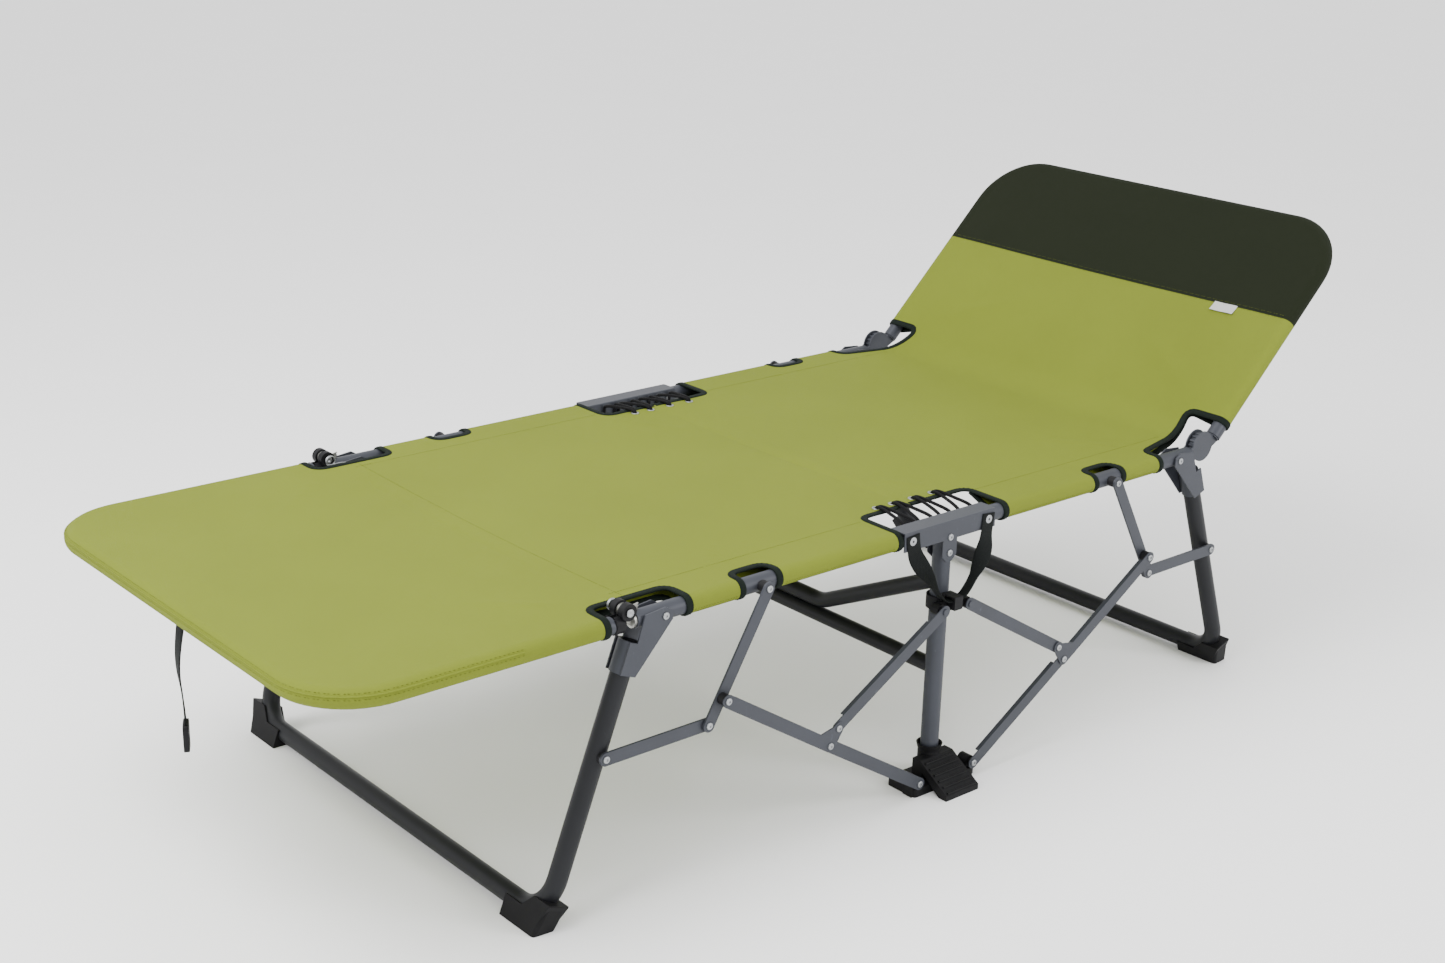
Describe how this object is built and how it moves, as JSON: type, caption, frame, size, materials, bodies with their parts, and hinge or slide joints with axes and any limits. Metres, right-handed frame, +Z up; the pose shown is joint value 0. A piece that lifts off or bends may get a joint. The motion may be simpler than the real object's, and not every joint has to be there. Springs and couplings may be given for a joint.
{
  "type": "folding cot",
  "caption": "Folding cot with a stretched fabric deck, reclining head section, folding foot section, U-shaped legs and a lifting centre frame with foot pedals that folds both halves.",
  "frame": {"origin": "on the floor, under the middle of the part's box", "axes": "+X along the bed towards the head end, +Y across the bed to the far side, +Z up"},
  "size_m": [1.7966, 0.81, 0.6653],
  "materials": {
    "grey_steel": "satin grey powder coat",
    "zinc_rivet": "zinc plated",
    "zinc_plate": "zinc plated, stamped",
    "black_plastic": "moulded, slight sheen",
    "green_fabric": "woven polyester, olive green",
    "black_webbing": "woven webbing",
    "black_cord": "braided cord"
  },
  "bodies": {
    "base": {"pedal_left": "black_plastic", "pedal_right": "black_plastic", "pedal_pins": "zinc_rivet"},
    "centre_frame": {"centre_leg_left": "grey_steel", "centre_leg_right": "grey_steel", "channel_left": "grey_steel", "channel_right": "grey_steel", "collars": "black_plastic", "crossbar": "grey_steel", "brace": "grey_steel", "carry_straps": "black_webbing", "centre_rivets": "zinc_rivet", "lacing": "black_cord"},
    "foot_half": {"rail_foot_left": "grey_steel", "rail_foot_right": "grey_steel", "pins_foot_half": "zinc_rivet", "spacers_foot_half": "black_plastic", "cover_foot_half": "green_fabric", "hinge_plates_foot": "zinc_plate"},
    "foot_leg": {"leg_foot": "grey_steel", "brackets_foot": "grey_steel", "boots_foot": "black_plastic", "pins_foot_leg": "zinc_rivet"},
    "foot_link_a": {"link_a_foot": "grey_steel", "pins_a_foot": "zinc_rivet"},
    "foot_link_b": {"link_b_foot": "grey_steel", "spacers_b_foot": "black_plastic"},
    "foot_pedal_link": {"link_f_foot": "grey_steel"},
    "foot_coupler": {"link_e_foot": "grey_steel", "pins_e_foot": "zinc_rivet", "spacers_e_foot": "black_plastic"},
    "foot_collar_link": {"link_d_foot": "grey_steel"},
    "head_half": {"rail_head_left": "grey_steel", "rail_head_right": "grey_steel", "pins_head_half": "zinc_rivet", "spacers_head_half": "black_plastic", "cover_head_half": "green_fabric", "ratchets_head": "grey_steel"},
    "head_leg": {"leg_head": "grey_steel", "brackets_head": "grey_steel", "boots_head": "black_plastic", "pins_head_leg": "zinc_rivet"},
    "head_link_a": {"link_a_head": "grey_steel", "pins_a_head": "zinc_rivet"},
    "head_link_b": {"link_b_head": "grey_steel", "spacers_b_head": "black_plastic"},
    "head_pedal_link": {"link_f_head": "grey_steel"},
    "head_coupler": {"link_e_head": "grey_steel", "pins_e_head": "zinc_rivet", "spacers_e_head": "black_plastic"},
    "head_collar_link": {"link_d_head": "grey_steel"},
    "foot_section": {"frame_foot_end": "grey_steel", "knuckles_foot": "black_plastic", "cover_foot_end": "green_fabric", "buckle_strap": "black_webbing", "buckle": "black_plastic"},
    "head_section": {"frame_head_end": "grey_steel", "stubs_head": "grey_steel", "cover_head_end": "green_fabric"}
  },
  "joints": [
    {"name": "fold", "type": "slide", "parent": "base", "child": "centre_frame", "axis": [0, 0, 1], "range_m": [0, 0.13582]},
    {"name": "foot_rail_pivot", "type": "hinge", "parent": "centre_frame", "child": "foot_half", "pos_m": [-0.03539, 0, 0.366], "axis": [0, -1, 0], "range_deg": [0, 35]},
    {"name": "foot_leg_pivot", "type": "hinge", "parent": "foot_half", "child": "foot_leg", "pos_m": [-0.44239, 0, 0.366], "axis": [0, -1, 0], "range_deg": [0, 107]},
    {"name": "foot_link_a_pivot", "type": "hinge", "parent": "foot_half", "child": "foot_link_a", "pos_m": [-0.29039, 0, 0.366], "axis": [0, -1, 0], "range_deg": [0, 107]},
    {"name": "foot_link_b_pivot", "type": "hinge", "parent": "foot_leg", "child": "foot_link_b", "pos_m": [-0.53239, 0, 0.21], "axis": [0, 1, 0], "range_deg": [0, 107]},
    {"name": "foot_pedal_link_pivot", "type": "hinge", "parent": "base", "child": "foot_pedal_link", "pos_m": [-0.01639, 0, 0.021], "axis": [0, 1, 0], "range_deg": [0, 30.82]},
    {"name": "foot_coupler_pivot", "type": "hinge", "parent": "foot_pedal_link", "child": "foot_coupler", "pos_m": [-0.18839, 0, 0.13], "axis": [0, 1, 0], "range_deg": [0, 25.45]},
    {"name": "foot_collar_link_pivot", "type": "hinge", "parent": "foot_coupler", "child": "foot_collar_link", "pos_m": [-0.17484, 0, 0.15101], "axis": [0, -1, 0], "range_deg": [0, 89.41]},
    {"name": "head_rail_pivot", "type": "hinge", "parent": "centre_frame", "child": "head_half", "pos_m": [0.10661, 0, 0.366], "axis": [0, 1, 0], "range_deg": [0, 35]},
    {"name": "head_leg_pivot", "type": "hinge", "parent": "head_half", "child": "head_leg", "pos_m": [0.51361, 0, 0.366], "axis": [0, 1, 0], "range_deg": [0, 107]},
    {"name": "head_link_a_pivot", "type": "hinge", "parent": "head_half", "child": "head_link_a", "pos_m": [0.36161, 0, 0.366], "axis": [0, 1, 0], "range_deg": [0, 107]},
    {"name": "head_link_b_pivot", "type": "hinge", "parent": "head_leg", "child": "head_link_b", "pos_m": [0.60361, 0, 0.21], "axis": [0, -1, 0], "range_deg": [0, 107]},
    {"name": "head_pedal_link_pivot", "type": "hinge", "parent": "base", "child": "head_pedal_link", "pos_m": [0.08761, 0, 0.021], "axis": [0, -1, 0], "range_deg": [0, 30.82]},
    {"name": "head_coupler_pivot", "type": "hinge", "parent": "head_pedal_link", "child": "head_coupler", "pos_m": [0.25961, 0, 0.13], "axis": [0, -1, 0], "range_deg": [0, 25.45]},
    {"name": "head_collar_link_pivot", "type": "hinge", "parent": "head_coupler", "child": "head_collar_link", "pos_m": [0.24606, 0, 0.15101], "axis": [0, 1, 0], "range_deg": [0, 89.41]},
    {"name": "foot_section_fold", "type": "hinge", "parent": "foot_half", "child": "foot_section", "pos_m": [-0.49439, 0, 0.382], "axis": [0, 1, 0], "range_deg": [0, 172]},
    {"name": "head_recline", "type": "hinge", "parent": "head_half", "child": "head_section", "pos_m": [0.57361, 0, 0.375], "axis": [0, -1, 0], "range_deg": [-44, 124]}
  ],
  "couplings": [
    {"joint": "foot_rail_pivot", "follows": "fold", "rad_per_m": 4.4976},
    {"joint": "foot_leg_pivot", "follows": "fold", "rad_per_m": 13.75},
    {"joint": "foot_link_a_pivot", "follows": "fold", "rad_per_m": 13.75},
    {"joint": "foot_link_b_pivot", "follows": "fold", "rad_per_m": 13.75},
    {"joint": "foot_pedal_link_pivot", "follows": "fold", "rad_per_m": 3.9595},
    {"joint": "foot_coupler_pivot", "follows": "fold", "rad_per_m": 3.2707},
    {"joint": "foot_collar_link_pivot", "follows": "fold", "rad_per_m": 11.489},
    {"joint": "head_rail_pivot", "follows": "fold", "rad_per_m": 4.4976},
    {"joint": "head_leg_pivot", "follows": "fold", "rad_per_m": 13.75},
    {"joint": "head_link_a_pivot", "follows": "fold", "rad_per_m": 13.75},
    {"joint": "head_link_b_pivot", "follows": "fold", "rad_per_m": 13.75},
    {"joint": "head_pedal_link_pivot", "follows": "fold", "rad_per_m": 3.9595},
    {"joint": "head_coupler_pivot", "follows": "fold", "rad_per_m": 3.2707},
    {"joint": "head_collar_link_pivot", "follows": "fold", "rad_per_m": 11.489}
  ]
}
